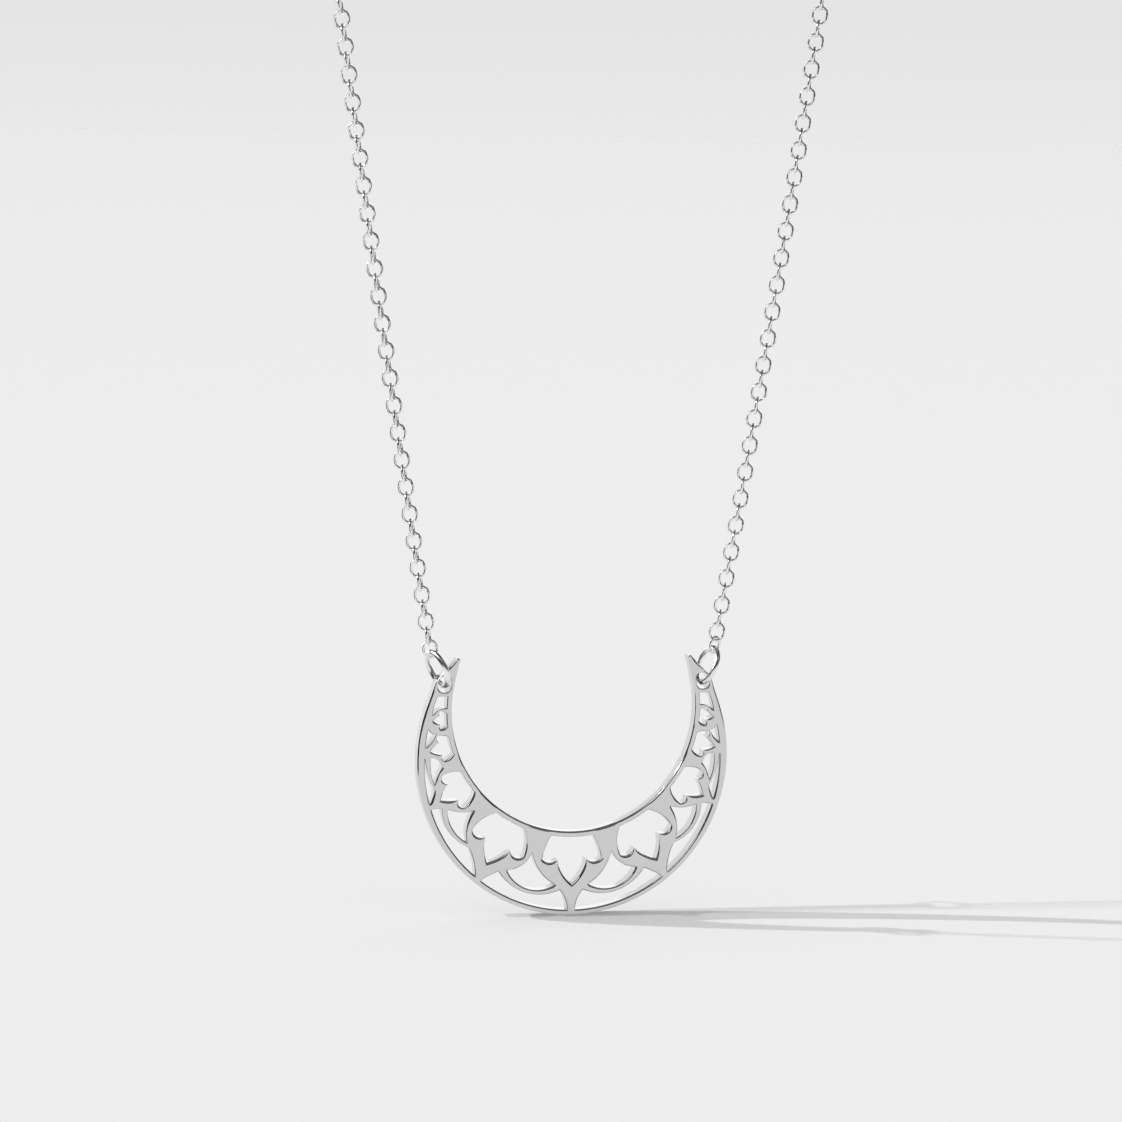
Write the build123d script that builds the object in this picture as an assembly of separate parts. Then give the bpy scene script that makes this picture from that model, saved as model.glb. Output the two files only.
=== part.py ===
from build123d import *
import os
from math import acos, cos, degrees, hypot, pi, radians, sin, sqrt, tan

# A pierced crescent on a fine cable chain, closed at the back by a clasp. Millimetres, +Z up, the
# pendant's front faces -Y. The origin is the point under the clasp, inside the loop, where it hangs.
# Points of the plate are (x, z) from the centre of its outer circle. Polar places are (distance,
# angle) about the centre of its inner circle, the angle turned from straight down. Only the right
# half is described, and the left one is its mirror image.

# Crescent plate: two circles, the inner one raised so that the horns point up
THICKNESS = 1.75
OUTER_RADIUS = 17.0
INNER_RADIUS = 13.33
INNER_RISE = 5.36
INNER_RIM = 0.60
OUTER_RIM = 0.80
# The openings' outer ends lie on a circle set lower than the plate's, so the rim thins to the bottom
RIM_DROP = 0.25

# Horn: where its edges leave the two circles, the corners between its straight edges, their rounds
HORN_START_Z = 6.2
HORN_INNER_Z = 8.4
SHOULDER = (15.04, 8.49)
SHOULDER_ROUND = 1.2
TIP = (12.31, 11.38)
TIP_ROUND = 0.22
HORN_HOLE = (14.12, 8.1)
HORN_HOLE_SIZE = (1.42, 1.75)
HORN_HOLE_TURN = 12.0

# Leaf openings from the middle to the horn: angle of the axis, half width across the side lobes,
# height from the rim to the tip, half length of the straight end and depth of the lobes, the last
# two as shares of the half width and of the height
LEAVES = (
    {"angle": 0.0, "half": 3.24, "height": 5.10, "corner": 0.70, "lobe": 0.46},
    {"angle": 29.4, "half": 3.18, "height": 5.00, "corner": 0.55, "lobe": 0.53},
    {"angle": 56.1, "half": 2.12, "height": 3.38, "corner": 0.61, "lobe": 0.54},
    {"angle": 74.1, "half": 1.40, "height": 2.22, "corner": 0.66, "lobe": 0.50},
    {"angle": 85.8, "half": 0.97, "height": 1.40, "corner": 0.64, "lobe": 0.48},
)

# Half of a leaf: shares of the half width, with shares of the lobe depth or of the whole height
LEAF_SIDE = (0.92, 0.58)
LEAF_LOBE = (1.0, 1.0)
LEAF_LOBE_FOOT = (0.79, 1.16)
LEAF_NOTCH = (0.49, 1.02)
LEAF_FLANK = (0.33, 0.75)

# Half of the pointed frame round a leaf, in shares of its half width and height: a bulge, then a
# waist, a stem and the foot on the rim
FRAME_TOP = (1.33, 0.25)
FRAME_BULGE = (1.13, 0.67)
FRAME_WAIST = (0.70, 0.955)
FRAME_STEM = (0.37, 1.15)
FRAME_FOOT = (0.14, 1.45)
FOOT_HALF = 0.13

# Swags between neighbouring leaves. The gap above each has its top at the apex. Then come the
# heights where the swag's upper and lower edges meet the two frames, in shares of the leaf heights,
# and the lowest points of both edges. A gap with an end runs out to a point on the rim there.
SWAGS = (
    {"apex": (16.15, 15.7), "upper": (1.01, 0.93), "lower": (1.13, 1.05), "sag": (20.0, 20.47), "at": 12.0, "end": None},
    {"apex": (15.40, 45.0), "upper": (0.83, 1.0), "lower": (0.90, 1.13), "sag": (18.4, 18.87), "at": 42.5, "end": None},
    {"apex": (15.55, 66.7), "upper": (0.91, 1.08), "lower": (1.0, None), "sag": (16.9, 17.25), "at": 66.0, "end": 72.4},
)

# Small gap between the two upper leaves, from the apex to its two ends on the rim
SIDE_APEX = (15.2, 80.3)
SIDE_ENDS = (76.3, 82.7)
SIDE_VIAS = ((15.78, 78.0), (15.75, 81.1))

# Gap at the top leaf's upper side: the two ends of its top edge, and its curved edges' middles
TOP_OUTER = (14.90, 95.6)
TOP_INNER = (13.90, 96.1)
TOP_INNER_FOOT = (13.90, 91.0)
TOP_OUTER_FOOT = (15.42, 88.2)
TOP_OUTER_VIA = (15.24, 91.2)
TOP_FOOT_VIA = (14.66, 90.2)

# Jump rings: round wire through the holes. Where the wire's centre stands in the hole, how far the
# ring leans out, and how far each is turned from square to the plate
RING_WIRE = 0.63
RING_RADIUS = 1.95
RING_SEAT = (14.02, 7.90)
RING_LEAN = 23.0
RING_TURNS = {"left": 15.0, "right": -11.0}

# Cable chain: oval links of round wire, each a quarter turn from the next
LINKS_PER_SIDE = 122
LINK_WIRE = 0.25
LINK_LENGTH = 2.08
LINK_WIDTH = 1.78
PITCH = 1.45
PLAY = 0.15
FACE_TWIST = 14.0
FIRST_TWISTS = {"left": -20.0, "right": -50.0}

# The loop: each leg bends in slowly from where it starts and runs into one round arch at the top
LEG_ANGLE = 9.5
LEG_RADIUS = 2500.0

# Clasp: a short barrel with rounded ends and an eye at each end
CLASP_RADIUS = 1.2
CLASP_LENGTH = 5.6
CLASP_ROUND = 0.9
EYE_WIRE = 0.5
EYE_RADIUS = 0.82
EYE_SINK = 0.2


def polar(radius, angle):
    """Point at a distance from the inner circle's centre, the angle turned from straight down."""
    return (radius * sin(radians(angle)), INNER_RISE - radius * cos(radians(angle)))


def on_axis(leaf, along, away):
    """Point in a leaf's own frame: along the rim, and away from the inner circle's centre."""
    turn = radians(leaf["angle"])
    return (along * cos(turn) + away * sin(turn), INNER_RISE + along * sin(turn) - away * cos(turn))


def leaf_point(leaf, share):
    """Point of a leaf by its shares of the half width and of the height."""
    return on_axis(leaf, share[0] * leaf["half"], INNER_RADIUS + INNER_RIM + share[1] * leaf["height"])


def circle_through(a, b, c):
    """Centre and radius of the circle through three points."""
    twice_area = 2 * (a[0] * (b[1] - c[1]) + b[0] * (c[1] - a[1]) + c[0] * (a[1] - b[1]))
    sa, sb, sc = (p[0] ** 2 + p[1] ** 2 for p in (a, b, c))
    x = (sa * (b[1] - c[1]) + sb * (c[1] - a[1]) + sc * (a[1] - b[1])) / twice_area
    y = (sa * (c[0] - b[0]) + sb * (a[0] - c[0]) + sc * (b[0] - a[0])) / twice_area
    return x, y, hypot(a[0] - x, a[1] - y)


def frame_point(leaf, height_share, side):
    """Point of the frame's outer edge at a height: the edge is two arcs that meet at the waist."""
    upper = (FRAME_TOP, FRAME_BULGE, FRAME_WAIST)
    lower = (FRAME_WAIST, FRAME_STEM, FRAME_FOOT)
    shares = upper if height_share < FRAME_WAIST[1] else lower
    places = [(u * leaf["half"], v * leaf["height"]) for u, v in shares]
    x, y, radius = circle_through(*places)
    bulges = 1 if x < places[1][0] else -1
    height = height_share * leaf["height"]
    along = x + bulges * sqrt(radius ** 2 - (height - y) ** 2)
    return on_axis(leaf, side * along, INNER_RADIUS + INNER_RIM + height)


def rim_point(angle):
    """Point of the circle that the openings' outer ends lie on."""
    rise = INNER_RISE + RIM_DROP
    radius = OUTER_RADIUS - OUTER_RIM
    reach = rise * cos(radians(angle)) + sqrt(radius ** 2 - (rise * sin(radians(angle))) ** 2)
    return polar(reach, angle)


def foot_angle(leaf, side):
    """Angle where the edge of a leaf's stem meets the rim."""
    reach = INNER_RADIUS + INNER_RIM + FRAME_FOOT[1] * leaf["height"]
    return leaf["angle"] + side * degrees(FOOT_HALF * leaf["half"] / reach)


# An outline is a closed run of strokes: (start, point on the arc or None for a straight line, end)
def leaf_opening(leaf):
    """Outline of a leaf: an arc along the rim, two side lobes, two notches and a pointed tip."""
    radius = INNER_RADIUS + INNER_RIM
    half_end = leaf["corner"] * leaf["half"]
    end_away = sqrt(radius ** 2 - half_end ** 2)

    def place(share, side):
        return leaf_point(leaf, (side * share[0], share[1] * leaf["lobe"]))

    tip = leaf_point(leaf, (0.0, 1.0))
    ends = {side: on_axis(leaf, side * half_end, end_away) for side in (-1, 1)}
    strokes = [(ends[-1], polar(radius, leaf["angle"]), ends[1])]
    for side in (1, -1):
        lobe, notch = place(LEAF_LOBE, side), place(LEAF_NOTCH, side)
        half = [
            (ends[side], place(LEAF_SIDE, side), lobe),
            (lobe, place(LEAF_LOBE_FOOT, side), notch),
            (notch, leaf_point(leaf, (side * LEAF_FLANK[0], LEAF_FLANK[1])), tip),
        ]
        strokes += half if side == 1 else [(c, b, a) for a, b, c in reversed(half)]
    return strokes


def upper_gap(a, b, swag):
    """Outline of the gap over a swag, between the frames of two neighbouring leaves."""
    apex = polar(*swag["apex"])
    near, far = frame_point(a, swag["upper"][0], 1), frame_point(b, swag["upper"][1], -1)
    return [
        (apex, leaf_point(a, FRAME_BULGE), near),
        (near, polar(swag["sag"][0], swag["at"]), far),
        (far, leaf_point(b, (-FRAME_BULGE[0], FRAME_BULGE[1])), apex),
    ]


def lower_gap(a, b, swag):
    """Outline of the gap under a swag, down to the rim."""
    start = frame_point(a, swag["lower"][0], 1)
    first = foot_angle(a, 1)
    down = frame_point(a, (swag["lower"][0] + FRAME_FOOT[1]) / 2, 1)
    sag = polar(swag["sag"][1], swag["at"])
    if swag["end"]:
        last = swag["end"]
        across = [(rim_point(first), rim_point((first + last) / 2), rim_point(last)), (rim_point(last), sag, start)]
        return [(start, down, rim_point(first))] + across
    last = foot_angle(b, -1)
    stop = frame_point(b, swag["lower"][1], -1)
    up = frame_point(b, (swag["lower"][1] + FRAME_FOOT[1]) / 2, -1)
    return [
        (start, down, rim_point(first)),
        (rim_point(first), rim_point((first + last) / 2), rim_point(last)),
        (rim_point(last), up, stop),
        (stop, sag, start),
    ]


def side_gap():
    """Outline of the small gap between the two upper leaves."""
    apex = polar(*SIDE_APEX)
    low, high = (rim_point(angle) for angle in SIDE_ENDS)
    return [
        (apex, polar(*SIDE_VIAS[0]), low),
        (low, rim_point(sum(SIDE_ENDS) / 2), high),
        (high, polar(*SIDE_VIAS[1]), apex),
    ]


def top_gap():
    """Outline of the gap under the horn's hole, over the top leaf."""
    outer, inner = polar(*TOP_OUTER), polar(*TOP_INNER)
    inner_foot, outer_foot = polar(*TOP_INNER_FOOT), polar(*TOP_OUTER_FOOT)
    inner_via = polar(TOP_INNER[0], (TOP_INNER[1] + TOP_INNER_FOOT[1]) / 2)
    return [
        (outer, polar(*TOP_OUTER_VIA), outer_foot),
        (outer_foot, polar(*TOP_FOOT_VIA), inner_foot),
        (inner_foot, inner_via, inner),
        (inner, None, outer),
    ]


def horn_hole():
    """Outline of the hole for the jump ring: two straight sides and two round ends."""
    radius, reach = HORN_HOLE_SIZE[0] / 2, (HORN_HOLE_SIZE[1] - HORN_HOLE_SIZE[0]) / 2
    turn = radians(HORN_HOLE_TURN)

    def place(across, up):
        x = HORN_HOLE[0] + across * cos(turn) - up * sin(turn)
        return (x, HORN_HOLE[1] + across * sin(turn) + up * cos(turn))

    corners = [place(radius, -reach), place(radius, reach), place(-radius, reach), place(-radius, -reach)]
    return [
        (corners[0], None, corners[1]),
        (corners[1], place(0, reach + radius), corners[2]),
        (corners[2], None, corners[3]),
        (corners[3], place(0, -reach - radius), corners[0]),
    ]


def rounded(before, corner, after, radius):
    """Start, middle and end of the arc that rounds a corner."""
    ways = []
    for point in (before, after):
        length = hypot(point[0] - corner[0], point[1] - corner[1])
        ways.append(((point[0] - corner[0]) / length, (point[1] - corner[1]) / length))
    half_angle = acos(ways[0][0] * ways[1][0] + ways[0][1] * ways[1][1]) / 2
    setback = radius / tan(half_angle)
    depth = radius / sin(half_angle) - radius
    middle = (ways[0][0] + ways[1][0], ways[0][1] + ways[1][1])
    scale = depth / hypot(*middle)
    start, end = ((corner[0] + setback * w[0], corner[1] + setback * w[1]) for w in ways)
    return start, (corner[0] + scale * middle[0], corner[1] + scale * middle[1]), end


def circle_x(height, radius, centre_height):
    """Half width of a circle at a height."""
    return sqrt(radius ** 2 - (height - centre_height) ** 2)


def horn():
    """Right horn's edge from the outer circle over shoulder and tip to the inner circle."""
    start = (circle_x(HORN_START_Z, OUTER_RADIUS, 0.0), HORN_START_Z)
    end = (circle_x(HORN_INNER_Z, INNER_RADIUS, INNER_RISE), HORN_INNER_Z)
    shoulder = rounded(start, SHOULDER, TIP, SHOULDER_ROUND)
    tip = rounded(SHOULDER, TIP, end, TIP_ROUND)
    return [(start, None, shoulder[0]), shoulder, (shoulder[2], None, tip[0]), tip, (tip[2], None, end)]


def mirrored(strokes):
    """The same outline on the other side of the middle, run the same way round."""
    return [tuple(p and (-p[0], p[1]) for p in reversed(stroke)) for stroke in reversed(strokes)]


def crescent():
    """Outer outline of the plate."""
    right = horn()
    left = mirrored(right)
    under = (left[-1][2], (0.0, -OUTER_RADIUS), right[0][0])
    over = (right[-1][2], (0.0, INNER_RISE - INNER_RADIUS), left[0][0])
    return [under] + right + [over] + left


def openings():
    """Outlines of all that is cut through the plate."""
    half = [leaf_opening(leaf) for leaf in LEAVES[1:]]
    for a, b, swag in zip(LEAVES, LEAVES[1:], SWAGS):
        half += [upper_gap(a, b, swag), lower_gap(a, b, swag)]
    half += [side_gap(), top_gap(), horn_hole()]
    return [leaf_opening(LEAVES[0])] + half + [mirrored(outline) for outline in half]


def wire_of(strokes):
    """Closed wire of an outline in the plate's middle plane."""
    edges = []
    for stroke in strokes:
        start, via, end = (p and Vector(p[0], 0, p[1]) for p in stroke)
        edges.append(ThreePointArc(start, via, end) if via else Line(start, end))
    return Wire(edges)


def plate():
    """The pierced plate, as thick in front of the middle plane as behind it."""
    face = Face(wire_of(crescent()), [wire_of(outline) for outline in openings()])
    return extrude(face, amount=THICKNESS / 2, dir=(0, 1, 0), both=True)


def ring_frame(side):
    """Seat in the hole, the way up through the ring, and the way across it to the front."""
    sign = -1 if side == "left" else 1
    lean, turn = radians(RING_LEAN), radians(RING_TURNS[side])
    up = Vector(sign * sin(lean), 0, cos(lean))
    square = Vector(sign * cos(lean), 0, -sin(lean))
    front = Vector(0, -1, 0) * cos(turn) - square * sin(turn)
    return Vector(sign * RING_SEAT[0], 0, RING_SEAT[1]), up, front


def jump_ring(side):
    """Closed ring of round wire."""
    seat, up, front = ring_frame(side)
    plane = Plane(origin=seat + up * RING_RADIUS, x_dir=up, z_dir=up.cross(front))
    return plane * Torus(RING_RADIUS, RING_WIRE / 2)


def loop_sizes():
    """Arch radius, leg length and turn of the legs at the arch, for the chain's own length.

    The leg ends where the arch, centred on the middle plane, is tangent to it. The arch's radius is
    the one at which leg and arch together are as long as the links and half the clasp.
    """
    start_x = RING_SEAT[0] + 2 * RING_RADIUS * sin(radians(RING_LEAN))
    low, high = LINKS_PER_SIDE * PITCH / 10, LINKS_PER_SIDE * PITCH / 3
    for _ in range(60):
        arch = (low + high) / 2
        end_angle = acos((LEG_RADIUS * cos(radians(LEG_ANGLE)) - start_x) / (LEG_RADIUS - arch))
        leg = LEG_RADIUS * (radians(LEG_ANGLE) - end_angle)
        if leg + arch * (pi / 2 + end_angle) > first_link() + (LINKS_PER_SIDE - 1) * PITCH + last_reach():
            high = arch
        else:
            low = arch
    return arch, leg, end_angle


def first_link():
    """Way along the loop from the wire at the ring's top to the first link's centre."""
    return (LINK_LENGTH - LINK_WIRE) / 2 - (RING_WIRE + LINK_WIRE) / 2 - PLAY


def last_reach():
    """Way along the loop from the last link's centre to the clasp's middle."""
    eye_end = CLASP_LENGTH / 2 - EYE_SINK + 2 * EYE_RADIUS
    return (LINK_LENGTH - LINK_WIRE) / 2 - (EYE_WIRE + LINK_WIRE) / 2 - PLAY + eye_end


def route(way, sizes):
    """Point and heading of the right half of the loop, from the ring's top up to the middle."""
    arch, leg, end_angle = sizes
    start = radians(LEG_ANGLE)
    x = RING_SEAT[0] + 2 * RING_RADIUS * sin(radians(RING_LEAN))
    z = RING_SEAT[1] + 2 * RING_RADIUS * cos(radians(RING_LEAN))
    heading = start - min(way, leg) / LEG_RADIUS
    x += LEG_RADIUS * (cos(heading) - cos(start))
    z += LEG_RADIUS * (sin(start) - sin(heading))
    if way > leg:
        heading = end_angle - (way - leg) / arch
        x += arch * (cos(heading) - cos(end_angle))
        z += arch * (sin(end_angle) - sin(heading))
    return Vector(x, 0, z), Vector(sin(heading), 0, cos(heading))


def link():
    """One link, long along X and flat in XY: round wire along a closed path with two round ends."""
    path = SlotOverall(LINK_LENGTH - LINK_WIRE, LINK_WIDTH - LINK_WIRE).wire()
    section = Plane(origin=path @ 0, z_dir=path % 0) * Circle(LINK_WIRE / 2)
    return sweep(section, path=path).solid()


def chain(side, sizes):
    """All links of one side, from the jump ring to the clasp."""
    sign = -1 if side == "left" else 1
    form = link()
    links = []
    for number in range(LINKS_PER_SIDE):
        point, heading = route(first_link() + number * PITCH, sizes)
        point, heading = (Vector(sign * v.X, 0, v.Z) for v in (point, heading))
        quarter = (number + (side == "right")) % 2 * 90.0 if number else FIRST_TWISTS[side]
        twist = radians(FACE_TWIST + quarter)
        normal = Vector(0, -1, 0) * cos(twist) + Vector(0, -1, 0).cross(heading) * sin(twist)
        links.append(Plane(origin=point, x_dir=heading, z_dir=normal) * form)
    return Compound(links)


def clasp(sizes):
    """Barrel with rounded ends and an eye at each end, each eye square to the link it holds."""
    barrel = Cylinder(CLASP_RADIUS, CLASP_LENGTH)
    barrel = fillet(barrel.edges().filter_by(GeomType.CIRCLE), CLASP_ROUND)
    eye = Torus(EYE_RADIUS, EYE_WIRE / 2)
    offset = CLASP_LENGTH / 2 - EYE_SINK + EYE_RADIUS
    body = Rot(0, 90, 0) * barrel + Pos(-offset, 0, 0) * Rot(90, 0, 0) * eye + Pos(offset, 0, 0) * eye
    point, _ = route(first_link() + (LINKS_PER_SIDE - 1) * PITCH + last_reach() - offset - EYE_RADIUS, sizes)
    return Pos(0, 0, point.Z) * body, point.Z - CLASP_RADIUS


def main():
    """Builds every piece, moves the origin under the clasp and writes one file for each piece."""
    sizes = loop_sizes()
    clasp_body, hanging_height = clasp(sizes)
    pieces = {"moon_plate": plate(), "clasp": clasp_body}
    for side in ("left", "right"):
        pieces[f"jump_ring_{side}"] = jump_ring(side)
        pieces[f"chain_{side}"] = chain(side, sizes)
    os.makedirs("parts", exist_ok=True)
    for name, piece in pieces.items():
        export_step(Pos(0, 0, -hanging_height) * piece, f"parts/{name}.step")
    arch, leg, end_angle = sizes
    print(f"arch radius {arch:.2f}, leg {leg:.2f}, leg's last angle {degrees(end_angle):.2f}")
    swing_axis = route(first_link() - (LINK_LENGTH - LINK_WIRE) / 2, sizes)[0].Z - hanging_height
    print(f"plate's centre at z {-hanging_height:.3f}, swing axis at z {swing_axis:.3f}")
    volumes = ", ".join(f"{name} {piece.volume:.1f}" for name, piece in pieces.items())
    print(f"volumes in cubic millimetres: {volumes}")


main()
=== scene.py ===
"""Looks of a silver crescent necklace, built around its packed construction model.

Lengths in the classes are millimetres unless a name says otherwise, and the meshes are metres. +Z is up
and the pendant's front faces -Y. Flat outlines are (x, z) points from the centre of the crescent's outer
circle, and polar places are (distance, angle) about the centre of its inner circle, the angle turned from
straight down. Pixels belong to the 1122 x 1122 photograph.
"""

import logging
from dataclasses import dataclass, field
from enum import Enum
from math import acos, cos, degrees, hypot, pi, radians, sin, sqrt, tan

import bpy
import numpy as np
from mathutils import Matrix, Vector
from mathutils.geometry import delaunay_2d_cdt


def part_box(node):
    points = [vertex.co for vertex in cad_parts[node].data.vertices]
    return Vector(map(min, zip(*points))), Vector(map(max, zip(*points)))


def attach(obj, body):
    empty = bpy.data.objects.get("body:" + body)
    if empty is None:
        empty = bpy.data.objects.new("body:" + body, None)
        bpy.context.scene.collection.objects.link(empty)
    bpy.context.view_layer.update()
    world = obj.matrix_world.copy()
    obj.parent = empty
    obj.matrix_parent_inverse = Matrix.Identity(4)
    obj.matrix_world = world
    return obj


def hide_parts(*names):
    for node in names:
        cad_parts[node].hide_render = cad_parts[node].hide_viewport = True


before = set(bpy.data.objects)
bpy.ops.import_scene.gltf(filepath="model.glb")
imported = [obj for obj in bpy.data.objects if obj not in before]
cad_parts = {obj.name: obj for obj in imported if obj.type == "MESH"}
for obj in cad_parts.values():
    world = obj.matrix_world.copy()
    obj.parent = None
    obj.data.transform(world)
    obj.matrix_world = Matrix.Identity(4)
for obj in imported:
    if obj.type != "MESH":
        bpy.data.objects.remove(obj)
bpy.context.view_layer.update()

log = logging.getLogger("moon_necklace")

MM = 0.001
PHOTO_SIDE = 1122

# Sampling of outlines: the least steps of a line and of an arc, the turn in degrees from which a corner
# is sharp, the least that a mitre is divided by, and a distance in millimetres that counts as none.
LINE_STEPS = 2
ARC_STEPS = 6
SHARP_TURN = 20.0
MITRE_LEAST = 0.5
NO_DISTANCE = 1e-6

# Room at a bend: the curvature per millimetre from which it is tight, the share of its radius that a
# round may have there, and the share of the distance from it that is added.
TIGHT_BEND = 1.0
BEND_SHARE = 0.6
ROOM_SLOPE = 0.25

# Filling of the plate's face: triangles inside the outlines with the holes left out, and the distance
# in millimetres below which two points are one.
FILL_WITHOUT_HOLES = 2
SAME_POINT = 1e-7

Point = tuple[float, float]
Stroke = tuple[Point, Point | None, Point]


class Side(Enum):
    """A side of the necklace as the viewer of its front sees it."""

    LEFT = "left"
    RIGHT = "right"

    @property
    def sign(self) -> int:
        """Sign of x on this side."""
        return -1 if self is Side.LEFT else 1


class Body(Enum):
    """The two bodies of the construction model."""

    NECKLACE = "necklace"
    PENDANT = "pendant"


def add_node(
    tree: bpy.types.NodeTree, kind: str, values: dict[str | int, object] | None = None, **settings: str
) -> bpy.types.Node:
    """Adds a shader node.

    Args:
        tree: Node tree of a material or of the world.
        kind: The node's type without its common prefix.
        values: Values of its inputs by their names or numbers.
        settings: Its own settings by their names, made before the values.

    Returns:
        The node.
    """
    node = tree.nodes.new(f"ShaderNode{kind}")
    for name, setting in settings.items():
        setattr(node, name, setting)
    for name, value in (values or {}).items():
        node.inputs[name].default_value = value
    return node


def link_nodes(
    tree: bpy.types.NodeTree, *rows: tuple[bpy.types.Node, str, bpy.types.Node, str | int]
) -> None:
    """Links nodes, each row giving a node, its output, the next node and that one's input."""
    for start, output, end, entry in rows:
        tree.links.new(start.outputs[output], end.inputs[entry])


def add_object(name: str, data: bpy.types.ID) -> bpy.types.Object:
    """Makes an object at the origin and puts it in the scene."""
    made = bpy.data.objects.new(name, data)
    bpy.context.scene.collection.objects.link(made)
    return made


@dataclass(frozen=True)
class SilverFinish:
    """Polished silver whose gloss, colour and surface vary slightly over the piece.

    Roughness runs between two values over a span of a noise, and the colour with the noise to a slightly
    darker one. A second, finer noise raises the surface by up to a few thousandths of a millimetre, as
    polishing leaves it.
    """

    name: str
    colour: tuple[float, float, float]
    smooth: float
    dull: float
    patch_mm: float
    grain_mm: float
    grain_depth_mm: float
    darker: float = 0.965
    patch_span: tuple[float, float] = (0.3, 0.7)
    patch_detail: float = 3.0
    grain_detail: float = 2.0

    def material(self) -> bpy.types.Material:
        """Builds the node material.

        Returns:
            The material, which reads object coordinates alone.
        """
        made = bpy.data.materials.new(self.name)
        made.use_nodes = True
        tree = made.node_tree
        shader = tree.nodes["Principled BSDF"]
        shader.inputs["Metallic"].default_value = 1.0
        place = add_node(tree, "TexCoord")
        patches = add_node(
            tree, "TexNoise", {"Scale": 1 / (self.patch_mm * MM), "Detail": self.patch_detail}
        )
        low, high = self.patch_span
        gloss = add_node(
            tree, "MapRange", {"From Min": low, "From Max": high, "To Min": self.smooth, "To Max": self.dull}
        )
        dark = (self.darker * c for c in self.colour)
        tint = add_node(tree, "Mix", {"A": (*self.colour, 1.0), "B": (*dark, 1.0)}, data_type="RGBA")
        grain = add_node(
            tree, "TexNoise", {"Scale": 1 / (self.grain_mm * MM), "Detail": self.grain_detail}
        )
        bump = add_node(tree, "Bump", {"Strength": 1.0, "Distance": self.grain_depth_mm * MM})
        link_nodes(
            tree,
            (place, "Object", patches, "Vector"),
            (place, "Object", grain, "Vector"),
            (patches, "Fac", gloss, "Value"),
            (patches, "Fac", tint, "Factor"),
            (gloss, "Result", shader, "Roughness"),
            (tint, "Result", shader, "Base Color"),
            (grain, "Fac", bump, "Height"),
            (bump, "Normal", shader, "Normal"),
        )
        return made


def make_piece(
    name: str,
    points: np.ndarray,
    faces: np.ndarray,
    normals: np.ndarray,
    *finishes: SilverFinish,
    dressed: np.ndarray | None = None,
) -> bpy.types.Object:
    """Makes a mesh piece with its own normals at each face corner.

    Args:
        name: Name of the piece.
        points: Vertices in millimetres, one row each.
        faces: Vertex numbers, one row of three or four for each face. Triangles repeat their last number.
        normals: One normal for each corner of each face, in the order of the faces' rows.
        finishes: The silver or silvers of the piece.
        dressed: Number of each face's finish, where there are several.

    Returns:
        The object, at the origin.
    """
    sizes = np.where(faces[:, 2] == faces[:, 3], 3, 4)
    used = np.ones(faces.shape, bool)
    used[:, 3] = sizes == 4
    corners = faces[used]
    mesh = bpy.data.meshes.new(name)
    mesh.vertices.add(len(points))
    mesh.vertices.foreach_set("co", (points * MM).astype(np.float32).ravel())
    mesh.loops.add(len(corners))
    mesh.loops.foreach_set("vertex_index", corners.astype(np.int32))
    mesh.polygons.add(len(faces))
    mesh.polygons.foreach_set("loop_start", np.concatenate(([0], np.cumsum(sizes)[:-1])).astype(np.int32))
    mesh.polygons.foreach_set("use_smooth", np.ones(len(faces), bool))
    mesh.update(calc_edges=True)
    mesh.normals_split_custom_set(normals[used].tolist())
    for finish in finishes:
        mesh.materials.append(finish.material())
    if dressed is not None:
        mesh.polygons.foreach_set("material_index", dressed.astype(np.int32))
    return add_object(name, mesh)


def tube_faces(ways: int, around: int) -> np.ndarray:
    """Faces of a closed tube bent into a closed path.

    The last faces, one for each point of a section, join its end to its start, and are left off where
    the tube is open.

    Args:
        ways: Stations along the path.
        around: Points round each station's section.

    Returns:
        One row of four vertex numbers for each face, for vertices stored station by station.
    """
    along, turn = np.meshgrid(np.arange(ways), np.arange(around), indexing="ij")
    next_along, next_turn = (along + 1) % ways, (turn + 1) % around
    corners = (
        along * around + turn,
        along * around + next_turn,
        next_along * around + next_turn,
        next_along * around + turn,
    )
    return np.stack([c.ravel() for c in corners], -1)


@dataclass(frozen=True)
class Leaf:
    """One leaf opening.

    The axis angle is in degrees, the half width is taken across the side lobes and the height from the
    rim to the tip. The straight end's half length is a share of the half width, and the lobes' depth
    is a share of the height.
    """

    angle: float
    half: float
    height: float
    corner: float
    lobe: float


@dataclass(frozen=True)
class Swag:
    """One hanging band between two leaves, with the gaps over and under it.

    The upper gap starts at the apex. Both edges of the band meet the leaves' frames at heights given as
    shares of the leaf heights, and hang to their lowest points at one angle. A band with an end runs
    out to a point on the rim at that angle.
    """

    apex: Point
    upper: Point
    lower: tuple[float, float | None]
    sag: Point
    at: float
    end: float | None = None


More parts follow.
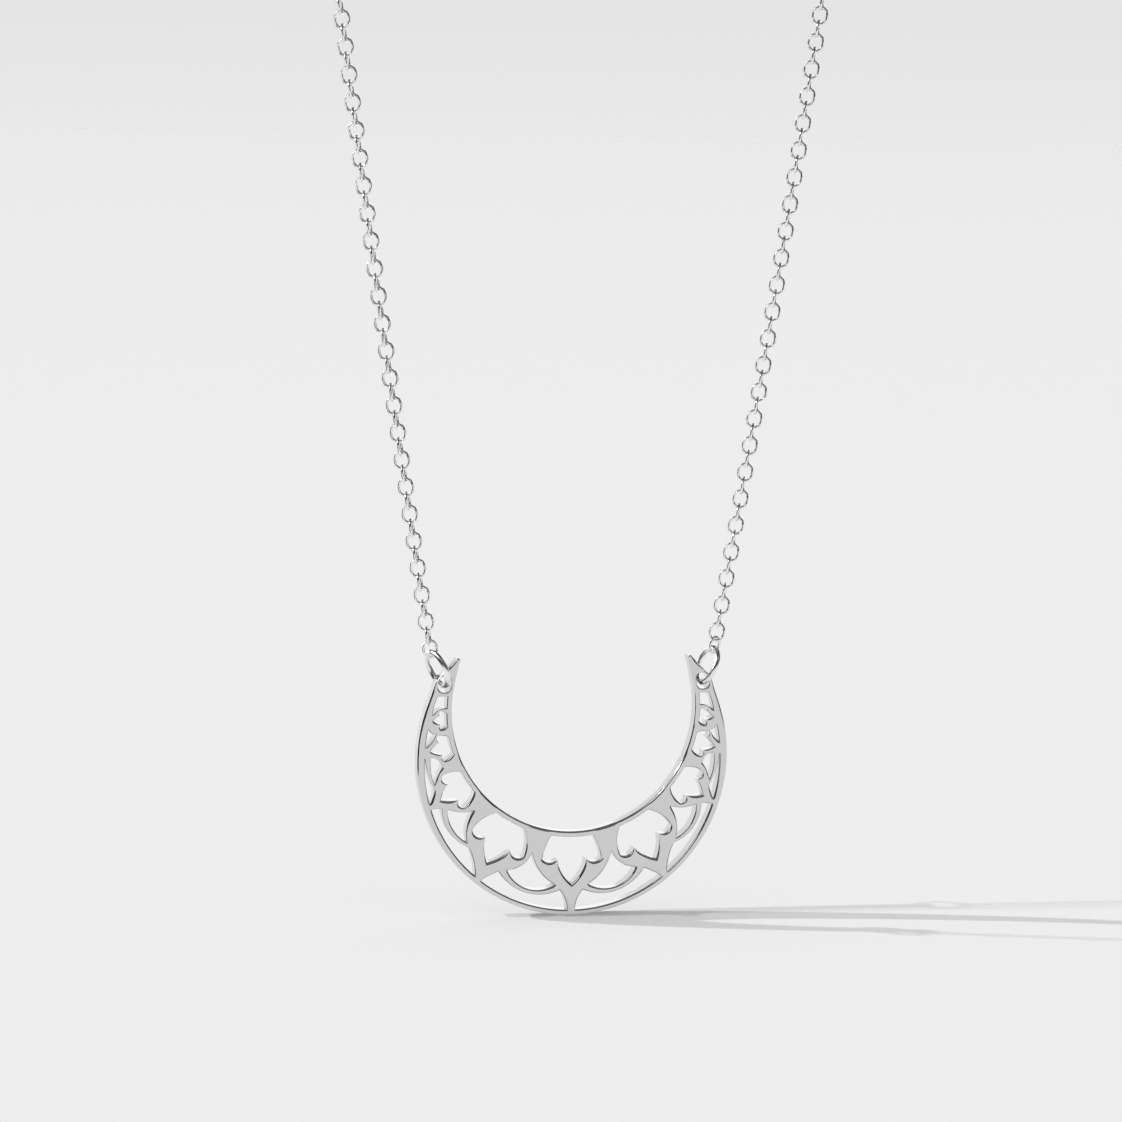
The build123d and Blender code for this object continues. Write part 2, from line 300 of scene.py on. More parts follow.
@dataclass(frozen=True)
class CrescentOutline:
    """Outline of the crescent and of all that is cut through it, as runs of lines and arcs.

    Places on a leaf and on its frame are shares of the leaf's half width and of its height, but from
    the leaf's side down to its notch the second is a share of the lobes' depth. Places of the gaps
    beside and over the top leaf are polar.
    """

    outer_radius: float = 17.0
    inner_radius: float = 13.33
    inner_rise: float = 5.36
    inner_rim: float = 0.60
    outer_rim: float = 0.80
    rim_drop: float = 0.25
    horn_start_z: float = 6.2
    horn_inner_z: float = 8.4
    shoulder: Point = (15.04, 8.49)
    shoulder_round: float = 1.2
    tip: Point = (12.31, 11.38)
    tip_round: float = 0.22
    hole: Point = (14.12, 8.1)
    hole_size: Point = (1.42, 1.75)
    hole_turn: float = 12.0
    # Angle, half width, height, share of the straight end, share of the lobes, from the middle upwards.
    leaves: tuple[Leaf, ...] = (
        Leaf(0.0, 3.24, 5.10, 0.70, 0.46),
        Leaf(29.4, 3.18, 5.00, 0.55, 0.53),
        Leaf(56.1, 2.12, 3.38, 0.61, 0.54),
        Leaf(74.1, 1.40, 2.22, 0.66, 0.50),
        Leaf(85.8, 0.97, 1.40, 0.64, 0.48),
    )
    # Apex, heights of the upper and the lower edge's ends, distances of their lowest points, angle, end.
    swags: tuple[Swag, ...] = (
        Swag((16.15, 15.7), (1.01, 0.93), (1.13, 1.05), (20.0, 20.47), 12.0),
        Swag((15.40, 45.0), (0.83, 1.0), (0.90, 1.13), (18.4, 18.87), 42.5),
        Swag((15.55, 66.7), (0.91, 1.08), (1.0, None), (16.9, 17.25), 66.0, 72.4),
    )
    leaf_side: Point = (0.92, 0.58)
    leaf_lobe: Point = (1.0, 1.0)
    leaf_lobe_foot: Point = (0.79, 1.16)
    leaf_notch: Point = (0.49, 1.02)
    leaf_flank: Point = (0.33, 0.75)
    frame_top: Point = (1.33, 0.25)
    frame_bulge: Point = (1.13, 0.67)
    frame_waist: Point = (0.70, 0.955)
    frame_stem: Point = (0.37, 1.15)
    frame_foot: Point = (0.14, 1.45)
    foot_half: float = 0.13
    side_apex: Point = (15.2, 80.3)
    side_ends: Point = (76.3, 82.7)
    side_vias: tuple[Point, Point] = ((15.78, 78.0), (15.75, 81.1))
    top_outer: Point = (14.90, 95.6)
    top_inner: Point = (13.90, 96.1)
    top_inner_foot: Point = (13.90, 91.0)
    top_outer_foot: Point = (15.42, 88.2)
    top_outer_via: Point = (15.24, 91.2)
    top_foot_via: Point = (14.66, 90.2)

    def polar(self, radius: float, angle: float) -> Point:
        """Point at a distance from the inner circle's centre, the angle turned from straight down."""
        return (radius * sin(radians(angle)), self.inner_rise - radius * cos(radians(angle)))

    def on_axis(self, leaf: Leaf, along: float, away: float) -> Point:
        """Point in a leaf's own frame: along the rim, and away from the inner circle's centre."""
        turn = radians(leaf.angle)
        x = along * cos(turn) + away * sin(turn)
        return (x, self.inner_rise + along * sin(turn) - away * cos(turn))

    def leaf_point(self, leaf: Leaf, share: Point) -> Point:
        """Point of a leaf by its shares of the half width and of the height."""
        away = self.inner_radius + self.inner_rim + share[1] * leaf.height
        return self.on_axis(leaf, share[0] * leaf.half, away)

    def frame_point(self, leaf: Leaf, height_share: float, side: int) -> Point:
        """Point of the frame round a leaf at a height.

        The frame's edge is two arcs that meet at the waist, each through three named places.

        Args:
            leaf: The leaf inside the frame.
            height_share: Height as a share of the leaf's.
            side: 1 for the edge further from the middle, -1 for the nearer one.

        Returns:
            The point of the arc that runs past that height.
        """
        upper = (self.frame_top, self.frame_bulge, self.frame_waist)
        lower = (self.frame_waist, self.frame_stem, self.frame_foot)
        shares = upper if height_share < self.frame_waist[1] else lower
        places = [(u * leaf.half, v * leaf.height) for u, v in shares]
        x, y, radius = circle_through(*places)
        bulges = 1 if x < places[1][0] else -1
        height = height_share * leaf.height
        along = x + bulges * sqrt(radius**2 - (height - y) ** 2)
        return self.on_axis(leaf, side * along, self.inner_radius + self.inner_rim + height)

    def rim_point(self, angle: float) -> Point:
        """Point of the circle that the openings' outer ends lie on."""
        rise = self.inner_rise + self.rim_drop
        radius = self.outer_radius - self.outer_rim
        reach = rise * cos(radians(angle)) + sqrt(radius**2 - (rise * sin(radians(angle))) ** 2)
        return self.polar(reach, angle)

    def foot_angle(self, leaf: Leaf, side: int) -> float:
        """Angle where the edge of a leaf's stem meets the rim."""
        reach = self.inner_radius + self.inner_rim + self.frame_foot[1] * leaf.height
        return leaf.angle + side * degrees(self.foot_half * leaf.half / reach)

    def leaf_opening(self, leaf: Leaf) -> list[Stroke]:
        """Leaf: an arc along the rim, two side lobes, two notches and a pointed tip."""
        radius = self.inner_radius + self.inner_rim
        half_end = leaf.corner * leaf.half
        end_away = sqrt(radius**2 - half_end**2)
        tip = self.leaf_point(leaf, (0.0, 1.0))
        ends = {side: self.on_axis(leaf, side * half_end, end_away) for side in (-1, 1)}
        strokes = [(ends[-1], self.polar(radius, leaf.angle), ends[1])]
        for side in (1, -1):
            lobed = (self.leaf_side, self.leaf_lobe, self.leaf_lobe_foot, self.leaf_notch)
            edge, lobe, foot, notch = (
                self.leaf_point(leaf, (side * u, v * leaf.lobe)) for u, v in lobed
            )
            flank = self.leaf_point(leaf, (side * self.leaf_flank[0], self.leaf_flank[1]))
            half = [(ends[side], edge, lobe), (lobe, foot, notch), (notch, flank, tip)]
            strokes += half if side == 1 else [(c, b, a) for a, b, c in reversed(half)]
        return strokes

    def upper_gap(self, a: Leaf, b: Leaf, swag: Swag) -> list[Stroke]:
        """Gap over a swag, between the frames of two neighbouring leaves."""
        apex = self.polar(*swag.apex)
        near, far = self.frame_point(a, swag.upper[0], 1), self.frame_point(b, swag.upper[1], -1)
        bulge = self.frame_bulge
        return [
            (apex, self.leaf_point(a, bulge), near),
            (near, self.polar(swag.sag[0], swag.at), far),
            (far, self.leaf_point(b, (-bulge[0], bulge[1])), apex),
        ]

    def lower_gap(self, a: Leaf, b: Leaf, swag: Swag) -> list[Stroke]:
        """Gap under a swag, down to the rim."""
        foot = self.frame_foot[1]
        start = self.frame_point(a, swag.lower[0], 1)
        down = self.frame_point(a, (swag.lower[0] + foot) / 2, 1)
        sag = self.polar(swag.sag[1], swag.at)
        first = self.foot_angle(a, 1)
        last = swag.end or self.foot_angle(b, -1)
        rim = [self.rim_point(angle) for angle in (first, (first + last) / 2, last)]
        strokes = [(start, down, rim[0]), (rim[0], rim[1], rim[2])]
        if swag.end:
            return strokes + [(rim[2], sag, start)]
        stop = self.frame_point(b, swag.lower[1], -1)
        up = self.frame_point(b, (swag.lower[1] + foot) / 2, -1)
        return strokes + [(rim[2], up, stop), (stop, sag, start)]

    def side_gap(self) -> list[Stroke]:
        """Small gap between the two upper leaves."""
        apex = self.polar(*self.side_apex)
        low, high = (self.rim_point(angle) for angle in self.side_ends)
        return [
            (apex, self.polar(*self.side_vias[0]), low),
            (low, self.rim_point(sum(self.side_ends) / 2), high),
            (high, self.polar(*self.side_vias[1]), apex),
        ]

    def top_gap(self) -> list[Stroke]:
        """Gap under the horn's hole, over the top leaf."""
        outer, inner = self.polar(*self.top_outer), self.polar(*self.top_inner)
        inner_foot, outer_foot = self.polar(*self.top_inner_foot), self.polar(*self.top_outer_foot)
        halfway = (self.top_inner[1] + self.top_inner_foot[1]) / 2
        inner_via = self.polar(self.top_inner[0], halfway)
        return [
            (outer, self.polar(*self.top_outer_via), outer_foot),
            (outer_foot, self.polar(*self.top_foot_via), inner_foot),
            (inner_foot, inner_via, inner),
            (inner, None, outer),
        ]

    def horn_hole(self) -> list[Stroke]:
        """Hole for the jump ring: two straight sides and two round ends."""
        radius = self.hole_size[0] / 2
        reach = self.hole_size[1] / 2 - radius
        turn = radians(self.hole_turn)

        def place(across: float, up: float) -> Point:
            """Point of the hole, across it and up it."""
            x = self.hole[0] + across * cos(turn) - up * sin(turn)
            return (x, self.hole[1] + across * sin(turn) + up * cos(turn))

        corners = [place(radius, -reach), place(radius, reach), place(-radius, reach), place(-radius, -reach)]
        return [
            (corners[0], None, corners[1]),
            (corners[1], place(0, reach + radius), corners[2]),
            (corners[2], None, corners[3]),
            (corners[3], place(0, -reach - radius), corners[0]),
        ]

    def horn(self) -> list[Stroke]:
        """Right horn's edge from the outer circle over shoulder and tip to the inner circle."""
        start = (sqrt(self.outer_radius**2 - self.horn_start_z**2), self.horn_start_z)
        inner_half = sqrt(self.inner_radius**2 - (self.horn_inner_z - self.inner_rise) ** 2)
        end = (inner_half, self.horn_inner_z)
        shoulder = rounded(start, self.shoulder, self.tip, self.shoulder_round)
        tip = rounded(self.shoulder, self.tip, end, self.tip_round)
        return [
            (start, None, shoulder[0]),
            shoulder,
            (shoulder[2], None, tip[0]),
            tip,
            (tip[2], None, end),
        ]

    def rim(self) -> list[Stroke]:
        """Outer outline of the whole crescent."""
        right = self.horn()
        left = mirrored(right)
        under = (left[-1][2], (0.0, -self.outer_radius), right[0][0])
        over = (right[-1][2], (0.0, self.inner_rise - self.inner_radius), left[0][0])
        return [under] + right + [over] + left

    def openings(self) -> list[list[Stroke]]:
        """Outlines of all that is cut through the plate."""
        half = [self.leaf_opening(leaf) for leaf in self.leaves[1:]]
        for a, b, swag in zip(self.leaves, self.leaves[1:], self.swags):
            half += [self.upper_gap(a, b, swag), self.lower_gap(a, b, swag)]
        half += [self.side_gap(), self.top_gap(), self.horn_hole()]
        return [self.leaf_opening(self.leaves[0])] + half + [mirrored(outline) for outline in half]


def circle_through(a: Point, b: Point, c: Point) -> tuple[float, float, float]:
    """Centre and radius of the circle through three points."""
    twice_area = 2 * (a[0] * (b[1] - c[1]) + b[0] * (c[1] - a[1]) + c[0] * (a[1] - b[1]))
    sa, sb, sc = (p[0] ** 2 + p[1] ** 2 for p in (a, b, c))
    x = (sa * (b[1] - c[1]) + sb * (c[1] - a[1]) + sc * (a[1] - b[1])) / twice_area
    y = (sa * (c[0] - b[0]) + sb * (a[0] - c[0]) + sc * (b[0] - a[0])) / twice_area
    return x, y, hypot(a[0] - x, a[1] - y)


def rounded(before: Point, corner: Point, after: Point, radius: float) -> Stroke:
    """Start, middle and end of the arc that rounds a corner."""
    ways = []
    for point in (before, after):
        length = hypot(point[0] - corner[0], point[1] - corner[1])
        ways.append(((point[0] - corner[0]) / length, (point[1] - corner[1]) / length))
    half_angle = acos(ways[0][0] * ways[1][0] + ways[0][1] * ways[1][1]) / 2
    setback = radius / tan(half_angle)
    depth = radius / sin(half_angle) - radius
    middle = (ways[0][0] + ways[1][0], ways[0][1] + ways[1][1])
    scale = depth / hypot(*middle)
    start, end = ((corner[0] + setback * w[0], corner[1] + setback * w[1]) for w in ways)
    return start, (corner[0] + scale * middle[0], corner[1] + scale * middle[1]), end


def mirrored(strokes: list[Stroke]) -> list[Stroke]:
    """The same outline on the other side of the middle, run the same way round."""
    return [tuple(p and (-p[0], p[1]) for p in reversed(stroke)) for stroke in reversed(strokes)]


def sample_stroke(stroke: Stroke, step: float) -> tuple[np.ndarray, np.ndarray]:
    """Even points on a line or arc with the way on at each.

    A line's points are start plus a share of the whole way. An arc's are centre plus radius times the
    cosine and sine of an even run of angles, turned the way that passes the middle point.

    Args:
        stroke: Start, point on the arc or None, and end.
        step: Distance between points, at most.

    Returns:
        Points and unit ways, one row each, from the start to the end.
    """
    start, via, end = stroke
    if via is None:
        whole, length = np.subtract(end, start), hypot(end[0] - start[0], end[1] - start[1])
        count = max(LINE_STEPS, int(np.ceil(length / step)))
        share = np.linspace(0, 1, count + 1)[:, None]
        return np.asarray(start) + share * whole, np.tile(whole / length, (count + 1, 1))
    x, y, radius = circle_through(start, via, end)
    a, b, c = (np.arctan2(p[1] - y, p[0] - x) for p in (start, via, end))
    sweep = (c - a) % (2 * pi)
    if (b - a) % (2 * pi) > sweep:
        sweep -= 2 * pi
    count = max(ARC_STEPS, int(np.ceil(abs(sweep) * radius / step)))
    angles = a + sweep * np.linspace(0, 1, count + 1)
    points = np.stack([x + radius * np.cos(angles), y + radius * np.sin(angles)], -1)
    ways = np.sign(sweep) * np.stack([-np.sin(angles), np.cos(angles)], -1)
    return points, ways


@dataclass(frozen=True)
class Loop:
    """A closed outline as arrays, run with the metal on its left.

    Each stroke keeps its own first and last point, so a corner is there twice with both its normals.
    The slot numbers give such a pair one number, and a join is the pair's first point. The outward ways
    are the normals, but a corner's pair shares its mitre. The reach is the distance along the outline to
    the nearest sharp corner of metal, and the room is the largest round that the metal's own bends leave.
    """

    points: np.ndarray
    normals: np.ndarray
    outward: np.ndarray
    slots: np.ndarray
    joins: np.ndarray
    reach: np.ndarray
    room: np.ndarray


def make_loop(strokes: list[Stroke], step: float, is_hole: bool) -> Loop:
    """Samples an outline.

    The normal out of the metal is the way on, turned a quarter to the right. A mitre is the sum of a
    corner's two normals over one plus their product. The room of a point is the least, over all tight
    bends, of a share of the bend's radius plus a share of the distance to it.

    Args:
        strokes: The outline.
        step: Distance between points, at most.
        is_hole: True where the metal is outside the outline.

    Returns:
        The outline's arrays.
    """
    flat = np.array([p for stroke in strokes for p in (stroke[0], stroke[1] or stroke[2], stroke[2])])
    after = np.roll(flat, -1, axis=0)
    area = np.sum(flat[:, 0] * after[:, 1] - after[:, 0] * flat[:, 1]) / 2
    if (area > 0) == is_hole:
        strokes = [(end, via, start) for start, via, end in reversed(strokes)]
    runs = [sample_stroke(stroke, step) for stroke in strokes]
    points = np.concatenate([run[0] for run in runs])
    ways = np.concatenate([run[1] for run in runs])
    lengths = np.array([len(run[0]) for run in runs])
    ends = np.cumsum(lengths)
    is_end = np.zeros(len(points), bool)
    is_end[ends - 1] = True
    slots = np.concatenate(([0], np.cumsum(~is_end)[:-1])) % np.sum(~is_end)
    steps = np.linalg.norm(np.roll(points, -1, axis=0) - points, axis=1)
    place = np.concatenate(([0.0], np.cumsum(steps)[:-1]))
    total = steps.sum()
    here, there = ends - 1, ends % len(points)
    turns = np.einsum("ij,ij->i", ways[here], ways[there])
    to_left = ways[here, 0] * ways[there, 1] - ways[here, 1] * ways[there, 0] > 0
    corners = place[here][(turns < cos(radians(SHARP_TURN))) & to_left]
    reach = np.full(len(points), total)
    if len(corners):
        gap = np.abs(place[:, None] - corners[None, :])
        reach = np.minimum(gap, total - gap).min(axis=1)
    normals = np.stack([ways[:, 1], -ways[:, 0]], -1)
    mitres = (normals[here] + normals[there]) / np.maximum(1 + turns, MITRE_LEAST)[:, None]
    outward = normals.copy()
    outward[here] = outward[there] = mitres
    spread = normals[1:] - normals[:-1]
    bend = np.einsum("ij,ij->i", spread, ways[:-1]) / np.maximum(steps[:-1], NO_DISTANCE)
    tight = np.flatnonzero((bend > TIGHT_BEND) & (steps[:-1] > NO_DISTANCE))
    room = np.full(len(points), total)
    if len(tight):
        gap = np.abs(place[:, None] - place[None, tight])
        room = (BEND_SHARE / bend[tight] + ROOM_SLOPE * np.minimum(gap, total - gap)).min(axis=1)
    return Loop(points, normals, outward, slots, is_end, reach, room)


def half_turn(steps: int) -> tuple[np.ndarray, np.ndarray]:
    """Turns of the normal over two rounded edges, from one face round to the opposite one.

    Args:
        steps: Steps over the quarter turn of each edge.

    Returns:
        The turns from the first face's normal, and 1 for each on the first edge and -1 on the second.
    """
    quarter = np.linspace(0.0, pi / 2, steps + 1)
    return np.concatenate((quarter, pi - quarter[::-1])), np.repeat((1.0, -1.0), steps + 1)


def row_faces(here: np.ndarray, there: np.ndarray, stations: int) -> np.ndarray:
    """Faces between pairs of rows of points.

    Args:
        here: Number of each pair's first row.
        there: Number of its second row.
        stations: Points of a row.

    Returns:
        One row of four point numbers for each face, for points stored row by row.
    """
    along = np.arange(stations - 1)
    first, second = here[:, None] * stations + along, there[:, None] * stations + along
    return np.stack((first, first + 1, second + 1, second), -1).reshape(-1, 4)


@dataclass
class MoonPlate:
    """The pierced crescent: a flat plate whose every edge is rounded, less at its points of metal."""

    centre_z: float
    thickness: float = 1.75
    edge_round: float = 0.28
    corner_slope: float = 0.33
    metal_share: float = 0.32
    step: float = 0.13
    round_steps: int = 4
    outline: CrescentOutline = field(default_factory=CrescentOutline)
    # Painted shade: the face's silver is darker than the metal's own colour, standing in for the dim
    # surroundings it reflects.
    finish: SilverFinish = SilverFinish(
        "polished_plate_silver",
        colour=(0.70, 0.698, 0.696),
        smooth=0.09, dull=0.15, patch_mm=2.6, grain_mm=0.22, grain_depth_mm=0.0006,
    )
    # Painted light: the walls' silver is a little lighter than the face's; their rougher gloss and grain are
    # the cut walls' own.
    cut_and_lit_wall_finish: SilverFinish = SilverFinish(
        "cut_and_lit_wall_silver",
        colour=(0.72, 0.718, 0.716),
        smooth=0.10, dull=0.20, patch_mm=0.5, grain_mm=0.34, grain_depth_mm=0.008,
    )

    def wall(self, loop: Loop, metal: np.ndarray) -> tuple[np.ndarray, np.ndarray, np.ndarray]:
        """Rounded wall along one outline: a section carried along it, from the front round to the back.

        A station's place is the outline's point, moved in by the local round times one less the sine of
        the station's turn. Its depth is half the thickness, less the local round times one less the
        cosine. The local round is the full one times g (3 - g) / 2, where g is the distance from a sharp
        corner of metal times a slope, over the full round, and at most one. It takes up no more than its
        share of the metal between this outline and the next, and no more than the room at its bends.

        Args:
            loop: The outline.
            metal: Width of the metal at each of its points.

        Returns:
            Vertices, faces and corner normals.
        """
        turns, side = half_turn(self.round_steps)
        grow = np.clip(loop.reach * self.corner_slope / self.edge_round, 0.0, 1.0)
        share = metal * self.metal_share / np.linalg.norm(loop.outward, axis=1)
        size = np.minimum(self.edge_round * grow * (3 - grow) / 2, share)
        size = np.minimum(size, loop.room)
        inset = size[:, None] * (1 - np.sin(turns))
        flat = loop.points[:, None, :] - loop.outward[:, None, :] * inset[:, :, None]
        depth = -side * (self.thickness / 2 - size[:, None] * (1 - np.abs(np.cos(turns))))
        spread = np.stack((flat[:, :, 0], depth, flat[:, :, 1] + self.centre_z), -1)
        shared = np.zeros((loop.slots.max() + 1, len(turns), 3))
        shared[loop.slots] = spread
        normal = np.stack(
            (
                loop.normals[:, None, 0] * np.sin(turns),
                np.broadcast_to(-np.cos(turns), (len(loop.points), len(turns))),
                loop.normals[:, None, 1] * np.sin(turns),
            ),
            -1,
        )
        start = np.flatnonzero(~loop.joins)
        faces = row_faces(loop.slots[start], loop.slots[start + 1], len(turns))
        corners = row_faces(start, start + 1, len(turns))
        return shared.reshape(-1, 3), faces, normal.reshape(-1, 3)[corners]

    def face(self, points: np.ndarray, rounds: list[list[int]]) -> np.ndarray:
        """Triangles of a flat face, inside the rim and outside the openings.

        Args:
            points: Flat (x, z) points of all the outlines.
            rounds: Numbers of each outline's points.

        Returns:
            Three point numbers for each triangle, in the order that faces the front.
        """
        flat = [Vector(row) for row in points.tolist()]
        filled = delaunay_2d_cdt(flat, [], rounds, FILL_WITHOUT_HOLES, SAME_POINT)
        if len(filled[0]) != len(points):
            raise ValueError("the outlines of the plate's face cross")
        triangles = np.array([ids[0] for ids in filled[3]])[np.array(filled[2])]
        ground = points[triangles]
        a, b = ground[:, 1] - ground[:, 0], ground[:, 2] - ground[:, 0]
        flip = a[:, 0] * b[:, 1] - a[:, 1] * b[:, 0] < 0
        triangles[flip] = triangles[flip][:, ::-1]
        return triangles

    def build(self) -> bpy.types.Object:
        """Builds the plate: a rounded wall along each outline, and two flat faces between them."""
        loops = [make_loop(self.outline.rim(), self.step, False)]
        loops += [make_loop(strokes, self.step, True) for strokes in self.outline.openings()]
        points, faces, normals, fronts, rounds = [], [], [], [], []
        stations = 2 * (self.round_steps + 1)
        count = 0
        for number, loop in enumerate(loops):
            others = np.concatenate([other.points for other in loops[:number] + loops[number + 1 :]])
            apart = np.linalg.norm(loop.points[:, None, :] - others[None, :, :], axis=2)
            made = self.wall(loop, apart.min(axis=1))
            row = np.arange(len(made[0]) // stations)
            points.append(made[0])
            faces.append(made[1] + count)
            normals.append(made[2])
            rounds.append((count // stations + row).tolist())
            fronts.append(count + row * stations)
            count += len(made[0])
        all_points = np.concatenate(points)
        front = np.concatenate(fronts)
        triangles = front[self.face(all_points[front][:, [0, 2]], rounds)]
        back = triangles[:, ::-1] + stations - 1
        for cap, way in ((triangles, -1.0), (back, 1.0)):
            faces.append(np.concatenate((cap, cap[:, -1:]), axis=1))
            normals.append(np.broadcast_to((0.0, way, 0.0), (len(cap), 4, 3)))
        log.info("plate: %d vertices, %d triangles on each face", count, len(triangles))
        all_faces = np.concatenate(faces)
        across = np.abs(np.diff(all_faces[:, :2], axis=1)[:, 0]) == 1
        on_wall = across & (all_faces[:, 0] % stations == self.round_steps)
        on_wall[-2 * len(triangles) :] = False
        piece = make_piece(
            "moon_plate_polished",
            all_points,
            all_faces,
            np.concatenate(normals),
            self.finish,
            self.cut_and_lit_wall_finish,
            dressed=on_wall,
        )
        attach(piece, Body.PENDANT.value)
        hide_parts("moon_plate")
        return piece


@dataclass(frozen=True)
class Hang:
    """Sizes of the rings, the chain and the clasp that more than one piece needs, and the loop's route.

    The route runs up the right half of the loop from the middle of the wire at its ring's top. A leg
    bends in slowly and runs into one round arch, which is centred on the middle plane.
    """

    centre_z: float
    ring_wire: float = 0.63
    ring_radius: float = 1.95
    ring_seat: Point = (14.02, 7.90)
    ring_lean: float = 23.0
    eye_wire: float = 0.5
    eye_radius: float = 0.82
    eye_offset: float = 3.42
    span: float = 176.165
    leg_angle: float = 9.5
    leg_radius: float = 2500.0
    arch_between: tuple[float, float] = (10.0, 60.0)
    arch_halvings: int = 50

    @property
    def start(self) -> Point:
        """Middle of the wire at the right ring's top, from the centre of the plate."""
        lean = radians(self.ring_lean)
        reach = 2 * self.ring_radius
        return self.ring_seat[0] + reach * sin(lean), self.ring_seat[1] + reach * cos(lean)

    def arch(self) -> tuple[float, float]:
        """Arch radius and the legs' turn at the arch, for the loop's own length.

        The leg ends where the arch is tangent to it, so the cosine of the turn there is the distance
        of the leg's centre from the middle plane, over the leg's radius less the arch's. The arch's
        radius is found by halving the range that it lies in.
        """
        low, high = self.arch_between
        for _ in range(self.arch_halvings):
            arch = (low + high) / 2
            turn = acos((self.leg_radius * cos(radians(self.leg_angle)) - self.start[0])
                        / (self.leg_radius - arch))
            length = self.leg_radius * (radians(self.leg_angle) - turn) + arch * (pi / 2 + turn)
            too_long = length > self.span + self.eye_offset + self.eye_radius
            low, high = (low, arch) if too_long else (arch, high)
        return arch, turn

    def route(self, ways: np.ndarray, side: Side) -> tuple[np.ndarray, np.ndarray]:
        """Points and headings of one half of the loop.

        On the leg, the heading is the start angle less the way over the leg's radius, and the place
        moves by the radius times the change of its cosine and sine. The same holds on the arch.

        Args:
            ways: Distances along the loop from the ring's top.
            side: The half of the loop.

        Returns:
            Points and unit headings, one row for each way.
        """
        arch, turn = self.arch()
        first = radians(self.leg_angle)
        leg = self.leg_radius * (first - turn)
        on_leg = first - np.minimum(ways, leg) / self.leg_radius
        on_arch = turn - np.maximum(ways - leg, 0.0) / arch
        x = self.start[0] + self.leg_radius * (np.cos(on_leg) - cos(first))
        z = self.start[1] + self.leg_radius * (sin(first) - np.sin(on_leg))
        x = x + arch * (np.cos(on_arch) - cos(turn))
        z = z + arch * (sin(turn) - np.sin(on_arch))
        heading = np.where(ways > leg, on_arch, on_leg)
        flat = np.zeros_like(x)
        points = np.stack((side.sign * x, flat, z + self.centre_z), -1)
        return points, np.stack((side.sign * np.sin(heading), flat, np.cos(heading)), -1)


def round_wire(
    centres: np.ndarray, outward: np.ndarray, across: np.ndarray, radius: float, around: int
) -> tuple[np.ndarray, np.ndarray, np.ndarray]:
    """Round wire along closed paths, all with the same number of stations.

    A surface point is the path's point plus the radius times the cosine of its turn outward and the
    sine of it across. Outward, across and the way on are square to each other, with across equal to
    the way on crossed with outward.

    Args:
        centres: Path points, of shape (paths, stations, 3).
        outward: Unit directions at them, of the same shape.
        across: Unit directions square to both outward and the way on, of the same shape.
        radius: Radius of the wire.
        around: Points round each section.

    Returns:
        Vertices, faces and corner normals.
    """
    paths, stations = centres.shape[:2]
    turn = np.arange(around) * 2 * pi / around
    normals = (
        outward[:, :, None, :] * np.cos(turn)[None, None, :, None]
        + across[:, :, None, :] * np.sin(turn)[None, None, :, None]
    )
    points = (centres[:, :, None, :] + radius * normals).reshape(-1, 3)
    one = tube_faces(stations, around)
    faces = (np.arange(paths)[:, None, None] * stations * around + one[None]).reshape(-1, 4)
    return points, faces, normals.reshape(-1, 3)[faces]


@dataclass
class JumpRing:
    """Closed ring of round wire through a horn's hole."""

    side: Side
    turn: float
    hang: Hang
    stations: int = 96
    around: int = 28
    finish: SilverFinish = SilverFinish(
        "polished_ring_silver",
        colour=(0.90, 0.898, 0.895),
        smooth=0.18, dull=0.26, patch_mm=1.2, grain_mm=0.3, grain_depth_mm=0.0006,
    )

    def build(self) -> bpy.types.Object:
        """Builds the ring: its section carried round a circle that leans out and is turned a little."""
        sign, hang = self.side.sign, self.hang
        lean, turn = radians(hang.ring_lean), radians(self.turn)
        up = np.array((sign * sin(lean), 0.0, cos(lean)))
        square = np.array((sign * cos(lean), 0.0, -sin(lean)))
        front = np.array((0.0, -cos(turn), 0.0)) - square * sin(turn)
        seat = np.array((sign * hang.ring_seat[0], 0.0, hang.ring_seat[1] + hang.centre_z))
        angles = np.arange(self.stations)[:, None] * 2 * pi / self.stations
        outward = up * np.cos(angles) + front * np.sin(angles)
        centres = seat + hang.ring_radius * (up + outward)
        across = np.broadcast_to(np.cross(front, up), outward.shape)
        made = round_wire(centres[None], outward[None], across[None], hang.ring_wire / 2, self.around)
        piece = make_piece(f"jump_ring_{self.side.value}_round", *made, self.finish)
        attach(piece, Body.PENDANT.value)
        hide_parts(f"jump_ring_{self.side.value}")
        return piece


